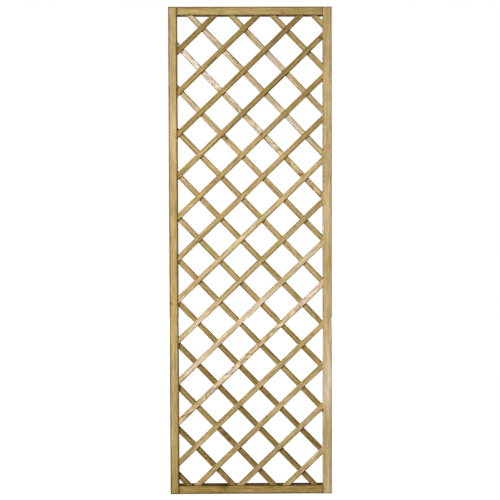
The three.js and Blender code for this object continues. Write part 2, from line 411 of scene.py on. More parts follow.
def softwood(name, wood):
    """Treated softwood with its rings, fibre, blotches, knots, painted shade (partly a stain on the
    arrises) and saw marks.
    """
    material, bench = new_material(name)
    cut = wood.cut
    grain = bench.attribute("grain")
    tone = bench.attribute("tone", "Color")
    ragged = bench.noise(grain, *RAGGED_NOISE)
    fibre = bench.noise(grain, *FIBRE_NOISE)
    streak = bench.noise(grain, *STREAK_NOISE)
    knot_distance, bulge = nearest_knot(bench, ragged)
    late = late_wood(bench, grain, bulge, cut.ring_gap)
    off_middle = bench.sum("ABSOLUTE", bench.parts(bench.attribute("section"))[0])
    from_side = (1 - off_middle) * cut.half_sizes[0]

    colour = bench.tint(late * wood.rings, tone, LATE_TINT)
    colour = blotched(bench, colour, grain, tone, wood)
    shade = (STREAK_LIGHT + wood.streaks * (streak - 0.5)) * (FIBRE_LIGHT + FIBRE_SHARE * fibre)
    colour = bench.mix(1.0, colour, bench.vector(shade, shade, shade), "MULTIPLY")
    colour = knotted(bench, colour, tone, knot_distance)
    colour = with_painted_shade(bench, colour, cut, streak, from_side)

    sawn = saw_marks(bench, grain, cut, ragged, from_side)
    relief = fibre * FIBRE_RELIEF + streak * STREAK_RELIEF + late * RING_RELIEF + sawn * SAW_RELIEF
    finish_surface(bench, {"Specular IOR Level": WOOD_SHEEN}, {
        "Base Color": colour,
        "Roughness": WOOD_ROUGHNESS + FIBRE_ROUGHNESS * fibre - late * RING_POLISH,
        "Normal": bench.node("ShaderNodeBump", {}, {
            "Strength": RELIEF_STRENGTH,
            "Distance": RELIEF_DEPTH,
            "Height": relief,
        }),
    })
    return material


# Zinc plated steel

ZINC_BLOOM = four(srgb(226, 222, 206))
RUST = four(srgb(108, 66, 38))
BLOOM_NOISE = ((900, 900, 900), 3.0)
BLOOM_SHARE = 0.7
RUST_NOISE = ((260, 260, 260), 3.0)
RUST_LEVELS = (0.52, 0.66)
ZINC_ROUGHNESS = 0.34
BLOOM_ROUGHNESS = 0.2
RUST_ROUGHNESS = 0.3
RUST_DULLS = 0.8
ZINC_RELIEF = 0.3
ZINC_DEPTH = 0.05 * MM


def zinc(name, plating, shine, rust):
    """Zinc plated steel with a dull bloom and a little rust."""
    material, bench = new_material(name)
    place = bench.node("ShaderNodeTexCoord", {}, {}, out="Object")
    bloom = bench.noise(place, *BLOOM_NOISE)
    spots = bench.step(bench.noise(place, *RUST_NOISE), *RUST_LEVELS, 0.0, rust)
    plated = bench.mix(bloom * BLOOM_SHARE, four(srgb(*plating)), ZINC_BLOOM)
    finish_surface(bench, {}, {
        "Base Color": bench.mix(spots, plated, RUST),
        "Roughness": ZINC_ROUGHNESS + BLOOM_ROUGHNESS * bloom + RUST_ROUGHNESS * spots,
        "Metallic": shine - shine * RUST_DULLS * spots,
        "Normal": bench.node("ShaderNodeBump", {}, {
            "Strength": ZINC_RELIEF,
            "Distance": ZINC_DEPTH,
            "Height": bloom + spots,
        }),
    })
    return material


# Mesh helpers

def new_piece(name, mesh):
    piece = bpy.data.objects.new(name, mesh)
    bpy.context.scene.collection.objects.link(piece)
    return piece


def settle(piece):
    """Turns the piece's modifiers into plain mesh."""
    bpy.context.view_layer.update()
    depsgraph = bpy.context.evaluated_depsgraph_get()
    mesh = bpy.data.meshes.new_from_object(piece.evaluated_get(depsgraph))
    piece.modifiers.clear()
    piece.data = mesh


def keep_one_material(piece):
    """Leaves the material that its tree set as the piece's only one."""
    material = piece.data.materials[-1]
    piece.data.materials.clear()
    piece.data.materials.append(material)
    piece.data.polygons.foreach_set("material_index", [0] * len(piece.data.polygons))


# Edges blunter than this angle shade smoothly, and broad faces weigh more than narrow ones
SMOOTH_BELOW = math.radians(32)
BROAD_FACE_WEIGHT = 80


def smooth_arrises(piece):
    """Rounds shade smoothly and broad faces stay flat."""
    piece.data.shade_smooth()
    piece.data.set_sharp_from_angle(angle=SMOOTH_BELOW)
    level = piece.modifiers.new("level", "WEIGHTED_NORMAL")
    level.keep_sharp = True
    level.weight = BROAD_FACE_WEIGHT
    settle(piece)


def cut_away(piece, cutters):
    """Takes the shells in cutters off the piece."""
    tool = new_piece("cutter", mesh_of(cutters))
    cut = piece.modifiers.new("cut", "BOOLEAN")
    cut.operation = "DIFFERENCE"
    cut.solver = "EXACT"
    cut.object = tool
    settle(piece)
    bpy.data.objects.remove(tool)


def mesh_of(shell):
    """A mesh from a bmesh, with every face pointing outwards."""
    bmesh.ops.recalc_face_normals(shell, faces=shell.faces)
    mesh = bpy.data.meshes.new("shell")
    shell.to_mesh(mesh)
    shell.free()
    return mesh


def add_loops(shell, loops):
    """Joins closed loops of points into one skin, closed at both ends."""
    rings = [[shell.verts.new(point) for point in loop] for loop in loops]
    for ring, following in zip(rings, rings[1:]):
        for corner in range(len(ring)):
            ahead = (corner + 1) % len(ring)
            shell.faces.new((ring[corner], ring[ahead], following[ahead], following[corner]))
    shell.faces.new(rings[0][::-1])
    shell.faces.new(rings[-1])


def add_block(shell, low, high):
    corners = [(low[0], low[1]), (high[0], low[1]), (high[0], high[1]), (low[0], high[1])]
    add_loops(shell, [[Vector((x, y, z)) for x, y in corners] for z in (low[2], high[2])])


# Sizes of the frame and the laths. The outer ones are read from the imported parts

stile_low, stile_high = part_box("left_stile")
FRAME_FACE = stile_high.x - stile_low.x
FRAME_DEPTH = stile_high.y - stile_low.y
PANEL_HALF = cad_high.x
PANEL_HEIGHT = cad_high.z
OPENING_HALF = PANEL_HALF - FRAME_FACE
FRONT_LATH_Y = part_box("front_lath_05")[0].y
BACK_LATH_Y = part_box("back_lath_05")[0].y
LATH_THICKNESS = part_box("front_lath_05")[1].y - FRONT_LATH_Y
LATH_WIDTH = 20 * MM
FIT_GAP = 0.3 * MM
GROOVE_DEPTH = 10 * MM
GROOVE_FRONT = FRONT_LATH_Y - FIT_GAP
GROOVE_BACK = BACK_LATH_Y + LATH_THICKNESS + FIT_GAP
HOUSED = GROOVE_DEPTH - FIT_GAP
FRAME_ARRIS = 2.8 * MM
GROOVE_LIP = 0.5 * MM
END_EASE = 0.7 * MM
ARRIS_STEPS = 5
LOOP_STEP = 18 * MM
CUTTER_OVERRUN = 5 * MM

# Wear: the share by which a section shrinks where it is most worn, and how the wear varies
WEAR = 0.004
WEAR_GRID = 9
WEAR_SEED = 0.3

FRAME_CUT = Cut((FRAME_FACE / 2, FRAME_DEPTH / 2), 7 * MM, 2.7 * MM, weathering=1.0, sawn=0.1)
LATH_CUT = Cut((LATH_WIDTH / 2, LATH_THICKNESS / 2), 3.6 * MM, 2.5 * MM, weathering=0.3, sawn=0.4)
WOODS = {
    "planed_stile_softwood": Wood(FRAME_CUT, rings=0.65, streaks=1.0, blotches=0.65, blotch_shortness=1.2),
    "stained_rail_softwood": Wood(FRAME_CUT, rings=0.5, streaks=0.8, blotches=1.15, blotch_shortness=3.0),
    "planed_rail_softwood": Wood(FRAME_CUT, rings=0.65, streaks=1.0, blotches=0.7, blotch_shortness=1.2),
    "sawn_lath_softwood": Wood(LATH_CUT, rings=0.8, streaks=1.4, blotches=0.9, blotch_shortness=1.7),
}


def quarter(centre_depth, centre_height, start_degrees):
    """One rounded arris of the frame section, as points of depth and height."""
    points = []
    for step in range(ARRIS_STEPS + 1):
        angle = math.radians(start_degrees + 90 * step / ARRIS_STEPS)
        points.append((
            centre_depth + FRAME_ARRIS * math.cos(angle),
            centre_height + FRAME_ARRIS * math.sin(angle),
        ))
    return points


def frame_section():
    """Depth and height points of the grooved section, outer face at height zero."""
    near = FRAME_ARRIS - FRAME_DEPTH / 2
    far = FRAME_DEPTH / 2 - FRAME_ARRIS
    high = FRAME_FACE - FRAME_ARRIS
    groove = [
        (GROOVE_BACK + GROOVE_LIP, FRAME_FACE),
        (GROOVE_BACK, FRAME_FACE - GROOVE_LIP),
        (GROOVE_BACK, FRAME_FACE - GROOVE_DEPTH),
        (GROOVE_FRONT, FRAME_FACE - GROOVE_DEPTH),
        (GROOVE_FRONT, FRAME_FACE - GROOVE_LIP),
        (GROOVE_FRONT - GROOVE_LIP, FRAME_FACE),
    ]
    return (quarter(near, FRAME_ARRIS, 180) + quarter(far, FRAME_ARRIS, 270)
            + quarter(far, high, 0) + groove + quarter(near, high, 90))


def frame_bar(length, place):
    """A grooved bar, a little worn: place turns (along, depth, height) into a point of the panel."""
    section = frame_section()
    count = round(length / LOOP_STEP)
    between_ends = [length * step / count for step in range(1, count)]
    spots = [0.0, END_EASE, *between_ends, length - END_EASE, length]
    middle = FRAME_FACE / 2
    loops = []
    for index, spot in enumerate(spots):
        at_end = index in (0, len(spots) - 1)
        wear = WEAR * (0.5 + 0.5 * noise.noise(Vector((spot * WEAR_GRID, length, WEAR_SEED))))
        shrink = 1 - wear - (2 * END_EASE / FRAME_FACE if at_end else 0)
        loops.append([
            Vector(place(spot, depth * shrink, middle + (height - middle) * shrink))
            for depth, height in section
        ])
    shell = bmesh.new()
    add_loops(shell, loops)
    return mesh_of(shell)


# Screw sizes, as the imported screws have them, and the cross recess that those leave out

SCREW_HEAD_RADIUS = 4.75 * MM
SCREW_SHANK_RADIUS = 2.5 * MM
SCREW_LENGTH = 70 * MM
SCREW_POINT = 6 * MM
SCREW_SINK = 0.6 * MM
SCREW_HEIGHT = (FRAME_FACE - GROOVE_DEPTH) / 2
SCREW_DEPTHS = {"front": -11 * MM, "back": 11 * MM}
RECESS_REACH = 2.4 * MM
RECESS_WIDTH = 0.9 * MM
RECESS_DEPTH = 1.8 * MM
HOLE_SIDES = 24


def screw_places():
    """Name, middle of the head's flat and the side it faces, for each of the eight corner screws."""
    for level, height in (("bottom", SCREW_HEIGHT), ("top", PANEL_HEIGHT - SCREW_HEIGHT)):
        for side, end in (("left", -1), ("right", 1)):
            for row, depth in SCREW_DEPTHS.items():
                centre = Vector((end * (PANEL_HALF - SCREW_SINK), depth, height))
                yield f"{level}_{side}_{row}_screw", centre, end


def add_screw_hole(shell, centre, end):
    """The countersunk hole in a stile, open past its outer face."""
    profile = [
        (-FRAME_FACE - CUTTER_OVERRUN, SCREW_SHANK_RADIUS + FIT_GAP),
        (SCREW_SHANK_RADIUS - SCREW_HEAD_RADIUS, SCREW_SHANK_RADIUS + FIT_GAP),
        (0, SCREW_HEAD_RADIUS + FIT_GAP),
        (SCREW_SINK * 0.5, SCREW_HEAD_RADIUS + FIT_GAP),
        (SCREW_SINK * 2, SCREW_HEAD_RADIUS + FIT_GAP + SCREW_SINK),
    ]
    loops = []
    for out, radius in profile:
        angles = [math.tau * side / HOLE_SIDES for side in range(HOLE_SIDES)]
        loops.append([
            centre + Vector((end * out, radius * math.cos(angle), radius * math.sin(angle)))
            for angle in angles
        ])
    add_loops(shell, loops)


# Wood attributes

# What a timber without knots has as its nearest one: place along, place off its middle, radius
FAR_KNOT = (10.0, 0.0, 1 * MM)

# How far apart in the log the timbers were cut, and where the pith lies from each one's middle: its
# direction, to either side of straight across, and its distance in millimetres
LOT_STEP = 3.7
PITH_WAY = 1.25
PITH_FAR = (25, 80)

# Scattered knots, in millimetres: where the first lies, the gap to the next, how far they lie off the
# lath's middle, and their radius
KNOT_FIRST = (100, 900)
KNOT_GAP = (500, 1100)
KNOT_ASIDE = (-8, 8)
KNOT_RADIUS = (1.2, 2.6)
KNOT_SEED_STEP = 31
KNOT_SEED_START = 7

# Lath knots that show from the front, in millimetres: place across the panel from its middle, place
# off the lath's middle, radius
SEEN_KNOTS = {
    "front_lath_08": [(-84, 6.5, 1.8)],
    "front_lath_10": [(45, 6, 2.8)],
    "front_lath_13": [(-158, -5.5, 2.6), (-149, -6, 3.2), (-140, -6, 3.6), (-131, -6, 2.6)],
    "back_lath_02": [(-176, 4, 2.8), (-166, -3, 3.2), (-156, 3, 3.0), (-146, -2, 3.2)],
    "back_lath_03": [(-266, 0, 3.0), (-99, 4, 6.0), (-82, -2, 4.5)],
    "back_lath_10": [(-90, 2, 4.5), (12, -3, 2.0)],
    "back_lath_12": [(-66, 7, 2.6), (-58, 7, 3.0), (-50, 7, 3.0), (-42, 7, 2.6), (-70, -2, 2.4)],
}

# Laths sawn flat to the growth rings, whose faces show them as long flames: where the pith lies, and
# how fast the log's places change on them, slower than real across the lath and faster along it
FLAMED_LATHS = ("front_lath_05", "back_lath_02", "back_lath_11")
FLAME_PITH = (3 * MM, 22 * MM)
FLAME_SPREAD = 0.4
FLAME_RUN = 2.0


# How far a timber's colour sways from its tone and how far a lath's own tone lies from its layer's,
# both counted in tones, and how often the colour sways to the metre
TONE_SWAY = 2.5
OWN_TONE = 1.0
SWAYS = 4.0
SWAY_SEED_STEP = 1.7
OWN_SEED_STEP = 17

# How a layer of laths bleached: its tone at the height where it is palest, and its brownest tone,
# which it has at a distance above and below that
Bleach = namedtuple("Bleach", "palest height brownest distance")


def bleached(bleach, height):
    """The place in the list of tones that a bleached layer has at a height."""
    first, last = TONE_NAMES.index(bleach.palest), TONE_NAMES.index(bleach.brownest)
    return first + (last - first) * min(abs(height - bleach.height) / bleach.distance, 1.0)


def tone_at(place):
    """The colour at a place in the list of tones, which may lie between two of them."""
    place = min(max(place, 0.0), len(TONE_NAMES) - 1)
    index = min(int(place), len(TONE_NAMES) - 2)
    first, second = (TONES[name] for name in TONE_NAMES[index:index + 2])
    return [a + (b - a) * (place - index) for a, b in zip(first, second)]


# A timber as it lies: its along, across and through directions, the point where its length begins,
# how it was cut, its length, and how much of each end is out of sight
Lie = namedtuple("Lie", "axes start cut length hidden")


def season_timber(piece, lot, lie, tone_place, edge_stains, knots, flamed=False):
    """Gives a timber's face corners their grain, section, knot and tone. lot seeds where in the log
    it was cut, tone_place turns a height into a place in the list of tones, and edge_stains, how dark
    the painted shade on the arrises is, are for the sides where across is below and above zero."""
    chance = random.Random(lot)
    pith_way = chance.uniform(-PITH_WAY, PITH_WAY)
    pith_far = chance.uniform(*PITH_FAR) * MM
    pith = (pith_far * math.cos(pith_way), pith_far * math.sin(pith_way))
    spread, run = 1.0, 1.0
    if flamed:
        pith, spread, run = FLAME_PITH, FLAME_SPREAD, FLAME_RUN
    half_face, half_depth = lie.cut.half_sizes
    mesh = piece.data
    places = [[(vertex.co - lie.start).dot(axis) for axis in lie.axes] for vertex in mesh.vertices]
    tones = []
    for vertex, (along, across, through) in zip(mesh.vertices, places):
        sway = noise.noise(Vector((along * SWAYS, lot * SWAY_SEED_STEP, 0.0)))
        tones.append(tone_at(tone_place(vertex.co.z) + TONE_SWAY * sway))
    values = {"grain": [], "section": [], "knot": [], "tone": []}
    for face in mesh.polygons:
        middle = sum(places[corner][0] for corner in face.vertices) / len(face.vertices)
        near = min(knots, key=lambda spot: abs(spot[0] - middle), default=FAR_KNOT)
        for corner in face.vertices:
            along, across, through = places[corner]
            from_end = min(along, lie.length - along) - lie.hidden
            log_along = along * run + lot * LOT_STEP
            values["grain"] += (log_along, across * spread + pith[0], through * spread + pith[1])
            values["section"] += (across / half_face, through / half_depth, from_end)
            values["knot"] += (along - near[0], across - near[1], near[2])
            values["tone"] += (*tones[corner], edge_stains[across > 0])
    for name, numbers in values.items():
        kind, field = ("FLOAT_COLOR", "color") if name == "tone" else ("FLOAT_VECTOR", "vector")
        mesh.attributes.new(name, kind, "CORNER").data.foreach_set(field, numbers)


def scatter_knots(lot, length):
    """Small knots at odd places along a lath: (place along it, place off its middle, radius)."""
    chance = random.Random(lot * KNOT_SEED_STEP + KNOT_SEED_START)
    spots = []
    along = chance.uniform(*KNOT_FIRST) * MM
    while along < length:
        spots.append((along, chance.uniform(*KNOT_ASIDE) * MM, chance.uniform(*KNOT_RADIUS) * MM))
        along += chance.uniform(*KNOT_GAP) * MM
    return spots


# Frame timbers

# side is the way that a timber's outer face looks (left and down are -1), edge_stains say how dark
# the painted shade on its inner and outer arrises is, and knots are in millimetres: place along the
# timber from its low or left end, place off its middle towards the outside, radius
Bar = namedtuple("Bar", "side wood tone edge_stains knots")
FRAME_TIMBERS = {
    "left_stile": Bar(
        -1, "planed_stile_softwood", "sand",
        (0.9, 1.0), [(709, 10, 2.6), (724, -4, 1.2), (1321, -11, 1.8)],
    ),
    "right_stile": Bar(1, "planed_stile_softwood", "straw", (0.3, 0.65), [(1290, 9, 1.4)]),
    "bottom_rail": Bar(-1, "stained_rail_softwood", "ochre", (0.1, 1.0), [(178, -11, 6)]),
    "top_rail": Bar(1, "planed_rail_softwood", "sand", (0.6, 0.85), [(395, -5, 2.5)]),
}


def make_stile(name, lot, material):
    """A stile over the full height, with its screw holes."""
    side = FRAME_TIMBERS[name].side
    axes = (Vector((0, 0, 1)), Vector((side, 0, 0)), Vector((0, 1, 0)))

    def place(along, depth, height):
        return (side * (PANEL_HALF - height), depth, along)

    piece = new_piece(f"{name}_timber", frame_bar(PANEL_HEIGHT, place))
    holes = bmesh.new()
    for screw_name, centre, end in screw_places():
        if end == side:
            add_screw_hole(holes, centre, end)
    cut_away(piece, holes)
    lie = Lie(axes, Vector(place(0, 0, FRAME_FACE / 2)), FRAME_CUT, PANEL_HEIGHT, 0.0)
    finish_frame_timber(piece, name, lot, lie, material)


def make_rail(name, lot, material):
    """A rail between the stiles, with a stub tenon at each end."""
    side = FRAME_TIMBERS[name].side
    length = 2 * (OPENING_HALF + HOUSED)
    outer = 0.0 if side < 0 else PANEL_HEIGHT
    axes = (Vector((1, 0, 0)), Vector((0, 0, side)), Vector((0, 1, 0)))

    def place(along, depth, height):
        return (along - length / 2, depth, outer - side * height)

    piece = new_piece(f"{name}_timber", frame_bar(length, place))
    cheeks = bmesh.new()
    past_outer = outer + side * CUTTER_OVERRUN
    past_inner = outer - side * (FRAME_FACE + CUTTER_OVERRUN)
    low, high = sorted((past_outer, past_inner))
    for end in (-1, 1):
        near, far = sorted((end * (OPENING_HALF - FIT_GAP), end * (OPENING_HALF + 2 * GROOVE_DEPTH)))
        add_block(cheeks, (near, -FRAME_DEPTH, low), (far, GROOVE_FRONT + FIT_GAP, high))
        add_block(cheeks, (near, GROOVE_BACK - FIT_GAP, low), (far, FRAME_DEPTH, high))
    cut_away(piece, cheeks)
    lie = Lie(axes, Vector(place(0, 0, FRAME_FACE / 2)), FRAME_CUT, length, HOUSED + FIT_GAP)
    finish_frame_timber(piece, name, lot, lie, material)


def finish_frame_timber(piece, name, lot, lie, material):
    """Gives a frame timber its wood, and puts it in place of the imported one."""
    bar = FRAME_TIMBERS[name]
    smooth_arrises(piece)
    knots = [[size * MM for size in knot] for knot in bar.knots]
    own_tone = TONE_NAMES.index(bar.tone)
    season_timber(piece, lot, lie, lambda height: own_tone, bar.edge_stains, knots)
    piece.data.materials.clear()
    piece.data.materials.append(material)
    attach(piece, "root")
    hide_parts(name)


# Laths

LATH_ARRIS = 2 * MM
LATH_ARRIS_STEPS = 3
LATH_LOOPS = 72

# How far a lath bows at its middle at most, and the ripple along it
LATH_BOW = 1 * MM
LATH_RIPPLE = 0.8 * MM
RIPPLE_WAVES = 5
RIPPLE_SEED_STEP = 1.37

# The laths end out of sight in the grooves, so their wood counts each end as a metre further off
FAR_END = -1.0

# A layer of laths: the name that its pieces start with, how many they are, their tilt, the depth of
# their faces, the seed before the first one's, how dark the painted shade on their lower and upper
# arrises is, and how they bleached
Layer = namedtuple("Layer", "name count tilt face seed edge_stains bleach")
FRONT_LAYER = Layer(
    "front_lath", 14, math.radians(43.9), FRONT_LATH_Y, 20, (1.5, 0.6),
    Bleach(palest="pale", height=650 * MM, brownest="brown", distance=1200 * MM),
)
BACK_LAYER = Layer(
    "back_lath", 15, math.radians(-46.1), BACK_LATH_Y, 50, (0.9, 1.2),
    Bleach(palest="straw", height=1600 * MM, brownest="umber", distance=1400 * MM),
)


def new_tree(name, inputs):
    """A geometry tree with named inputs: returns its bench and the flow of each input."""
    tree = bpy.data.node_groups.new(name, "GeometryNodeTree")
    bench = Bench(tree)
    tree.interface.new_socket(name="Geometry", in_out="OUTPUT", socket_type="NodeSocketGeometry")
    for label, kind in inputs.items():
        tree.interface.new_socket(name=label, in_out="INPUT", socket_type=kind)
    entry = bench.node("NodeGroupInput").socket.node
    return bench, {label: Flow(bench, entry.outputs[label]) for label in inputs}


def close_tree(bench, geometry, material):
    """Ends a geometry tree: instances made real, material set."""
    real = bench.node("GeometryNodeRealizeInstances", {}, {0: geometry})
    dressed = bench.node("GeometryNodeSetMaterial", {}, {"Geometry": real, "Material": material})
    bench.node("NodeGroupOutput", {}, {0: dressed})
    return bench.tree


def grow(name, mesh, tree, values):
    """A plain mesh piece from a geometry tree, with its inputs set by identifier."""
    piece = new_piece(name, mesh)
    grower = piece.modifiers.new("grow", "NODES")
    grower.node_group = tree
    for item in tree.interface.items_tree:
        if item.in_out == "INPUT" and item.name in values:
            grower[item.identifier] = values[item.name]
    settle(piece)
    keep_one_material(piece)
    return piece


def rectangle(bench, width, height):
    sockets = {"Width": width, "Height": height}
    return bench.node("GeometryNodeCurvePrimitiveQuadrilateral", {"mode": "RECTANGLE"}, sockets)


def rounded(bench, curve, steps, radius):
    sockets = {"Curve": curve, "Count": steps, "Radius": radius}
    return bench.node("GeometryNodeFilletCurve", {"mode": "POLY"}, sockets)


def swept(bench, path, section):
    sockets = {"Curve": path, "Profile Curve": section, "Fill Caps": True}
    return bench.node("GeometryNodeCurveToMesh", {}, sockets)


def lath_tree():
    """A lath that runs across the panel at its tilt and is cut off along the housing at both ends."""
    numbers = (
        "Width", "Thickness", "Arris", "Tilt", "Crossing Height", "Face",
        "Side Reach", "Foot Reach", "Head Reach", "Bow", "Ripple", "Ripple Seed",
    )
    inputs = {label: "NodeSocketFloat" for label in numbers}
    inputs["Loops"] = "NodeSocketInt"
    inputs["Timber"] = "NodeSocketMaterial"
    bench, size = new_tree("lath", inputs)
    line = bench.node("GeometryNodeCurvePrimitiveLine", {}, {"Start": (0, 0, 0), "End": (1, 0, 0)})
    spine = bench.node("GeometryNodeResampleCurve", {"mode": "COUNT"}, {
        "Curve": line,
        "Count": size["Loops"],
    })
    blank = rectangle(bench, size["Thickness"], size["Width"])
    bar = swept(bench, spine, rounded(bench, blank, LATH_ARRIS_STEPS, size["Arris"]))

    share, through, across = bench.parts(bench.node("GeometryNodeInputPosition"))
    run = bench.sum("COSINE", size["Tilt"])
    rise = bench.sum("SINE", size["Tilt"])
    side_x = across * rise * -1
    side_z = size["Crossing Height"] + across * run
    right = (size["Side Reach"] - side_x) / run
    left = (size["Side Reach"] * -1 - side_x) / run
    head = (size["Head Reach"] - side_z) / rise
    foot = (size["Foot Reach"] - side_z) / rise
    first = bench.sum("MAXIMUM", left, bench.sum("MINIMUM", head, foot))
    last = bench.sum("MINIMUM", right, bench.sum("MAXIMUM", head, foot))
    along = first + share * (last - first)
    ripple = bench.node("ShaderNodeTexNoise", {"noise_dimensions": "1D"}, {
        "W": along * RIPPLE_WAVES + size["Ripple Seed"],
        "Scale": 1.0,
        "Detail": 1.0,
    })
    bend = size["Bow"] * share * (1 - share) * 4 + (ripple - 0.5) * size["Ripple"]
    sideways = across + bend
    place = bench.vector(
        along * run - sideways * rise,
        size["Face"] + size["Thickness"] * 0.5 + through,
        size["Crossing Height"] + along * rise + sideways * run,
    )
    shaped = bench.node("GeometryNodeSetPosition", {}, {"Geometry": bar, "Position": place})
    return close_tree(bench, shaped, size["Timber"])


def crossing_height(name, tilt):
    """Where a lath's centreline crosses the panel's middle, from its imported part's box."""
    low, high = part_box(name)
    reach = OPENING_HALF + HOUSED
    half = LATH_WIDTH / 2 / math.cos(tilt)
    climb = reach * abs(math.tan(tilt)) + half
    meets_right = high.x > reach - FIT_GAP / 2
    if tilt > 0:
        return high.z - climb if meets_right else low.z + climb
    return low.z + climb if meets_right else high.z - climb


def lath_names(layer):
    """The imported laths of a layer, lowest first."""
    return [f"{layer.name}_{number:02d}" for number in range(1, layer.count + 1)]


def make_lath(name, tree, lot, layer, material):
    """A lath in its layer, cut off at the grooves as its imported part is."""
    tilt = layer.tilt
    height = crossing_height(name, tilt)
    piece = grow(f"{name}_timber", bpy.data.meshes.new("blank"), tree, {
        "Width": LATH_WIDTH,
        "Thickness": LATH_THICKNESS,
        "Arris": LATH_ARRIS,
        "Tilt": tilt,
        "Crossing Height": height,
        "Face": layer.face,
        "Side Reach": OPENING_HALF + HOUSED,
        "Foot Reach": FRAME_FACE - HOUSED,
        "Head Reach": PANEL_HEIGHT - FRAME_FACE + HOUSED,
        "Bow": random.Random(lot).uniform(-1, 1) * LATH_BOW,
        "Ripple": LATH_RIPPLE,
        "Ripple Seed": lot * RIPPLE_SEED_STEP,
        "Loops": LATH_LOOPS,
        "Timber": material,
    })
    smooth_arrises(piece)
    low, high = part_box(name)
    run = Vector((math.cos(tilt), 0, math.sin(tilt)))
    axes = (run, Vector((-run.z, 0, run.x)), Vector((0, 1, 0)))
    start = Vector((low.x, layer.face + LATH_THICKNESS / 2, height + low.x * math.tan(tilt)))
    length = (high.x - low.x) / run.x
    knots = scatter_knots(lot, length)
    if name in SEEN_KNOTS:
        knots = [
            ((x * MM - low.x) / run.x, aside * MM, radius * MM)
            for x, aside, radius in SEEN_KNOTS[name]
        ]
    lie = Lie(axes, start, LATH_CUT, length, FAR_END)
    own_tone = random.Random(lot * OWN_SEED_STEP).uniform(-OWN_TONE, OWN_TONE)

    def tone_place(spot):
        return bleached(layer.bleach, spot) + own_tone

    season_timber(piece, lot, lie, tone_place, layer.edge_stains, knots, name in FLAMED_LATHS)
    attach(piece, "root")
    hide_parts(name)


# Staples and screws

STAPLE_CROWN = 9 * MM
STAPLE_LEG = 11 * MM
STAPLE_WIRE = (1.3 * MM, 0.9 * MM)
STAPLE_CORNERS = 4
STAPLE_BEND_STEPS = 2
HEAD_SIDES = 32
SHANK_SIDES = 16

# How proud a crown stands, as a share of its wire, how far a staple misses its crossing (millimetres)
# and its angle, how near the frame a crossing may be (shares of a lath), and how far a screw turned
STAPLE_LIFT = 0.15
STAPLE_SLIP = 2
STAPLE_ASKEW = 0.3
STAPLE_SEED = 5
CROSSING_MARGIN = 0.4
SCREW_TURN = 1.5
SCREW_SEED = 11


def repeat_tree(name, sizes, make_shape):
    """A tree that sets one shape on every point of a mesh, turned by the point's turn attribute."""
    inputs = {"Points": "NodeSocketGeometry", **{label: "NodeSocketFloat" for label in sizes}}
    inputs["Steel"] = "NodeSocketMaterial"
    bench, size = new_tree(name, inputs)
    kind = {"data_type": "FLOAT_VECTOR"}
    turn = bench.node("GeometryNodeInputNamedAttribute", kind, {"Name": "turn"})
    repeated = bench.node("GeometryNodeInstanceOnPoints", {}, {
        "Points": size["Points"],
        "Instance": make_shape(bench, size),
        "Rotation": bench.node("FunctionNodeEulerToRotation", {}, {"Euler": turn}),
    })
    return close_tree(bench, repeated, size["Steel"])


def staple_shape(bench, size):
    """A wire bent square: its crown along X at height zero and its legs down."""
    dots = bench.node("GeometryNodeMeshLine", {"mode": "OFFSET"}, {"Count": STAPLE_CORNERS})
    number = bench.node("GeometryNodeInputIndex") - (STAPLE_CORNERS - 1) / 2
    is_tip = bench.sum("GREATER_THAN", bench.sum("ABSOLUTE", number), 1)
    bent = bench.vector(
        bench.sum("SIGN", number) * size["Crown"] * 0.5,
        0.0,
        is_tip * size["Leg"] * -1,
    )
    moved = bench.node("GeometryNodeSetPosition", {}, {"Geometry": dots, "Position": bent})
    path = bench.node("GeometryNodeMeshToCurve", {}, {0: moved})
    eased = rounded(bench, path, STAPLE_BEND_STEPS, size["Wire Width"])
    return swept(bench, eased, rectangle(bench, size["Wire Width"], size["Wire Thickness"]))


def cone(bench, sides, top, bottom, depth):
    sockets = {"Vertices": sides, "Radius Top": top, "Radius Bottom": bottom, "Depth": depth}
    return bench.node("GeometryNodeMeshCone", {"fill_type": "NGON"}, sockets)


def screw_shape(bench, size):
    """A countersunk screw with a cross recess: the flat of its head is at zero and it points down."""
    head_height = size["Head Radius"] - size["Shank Radius"]
    shank_length = size["Length"] - head_height - size["Point"]
    head = cone(bench, HEAD_SIDES, size["Head Radius"], size["Shank Radius"], head_height)
    shank = bench.node("GeometryNodeMeshCylinder", {"fill_type": "NGON"}, {
        "Vertices": SHANK_SIDES,
        "Radius": size["Shank Radius"],
        "Depth": shank_length,
    })
    tip = cone(bench, SHANK_SIDES, size["Shank Radius"], 0.0, size["Point"])
    drops = (
        (head, head_height * -1),
        (shank, head_height * -1 - shank_length * 0.5),
        (tip, size["Length"] * -1),
    )
    lengths = []
    for shape, drop in drops:
        lengths.append(bench.node("GeometryNodeTransform", {}, {
            "Geometry": shape,
            "Translation": bench.vector(0.0, 0.0, drop),
        }))
    wings = []
    for turned in (0, math.pi / 2):
        wing_size = bench.vector(size["Recess Reach"] * 2, size["Recess Width"], size["Recess Depth"] * 2)
        wings.append(bench.node("GeometryNodeTransform", {}, {
            "Geometry": bench.node("GeometryNodeMeshCube", {}, {"Size": wing_size}),
            "Rotation": (0, 0, turned),
        }))
    return bench.node("GeometryNodeMeshBoolean", {"operation": "DIFFERENCE", "solver": "EXACT"}, {
        "Mesh 1": bench.node("GeometryNodeJoinGeometry", {}, {0: lengths}),
        "Mesh 2": wings,
    })


def points_mesh(name, spots):
    """A mesh of loose points with a turn attribute: spots are (place, turn as Euler angles)."""
    mesh = bpy.data.meshes.new(name)
    mesh.from_pydata([place for place, turn in spots], [], [])
    turns = mesh.attributes.new("turn", "FLOAT_VECTOR", "POINT")
    for index, (place, turn) in enumerate(spots):
        turns.data[index].vector = turn
    return mesh


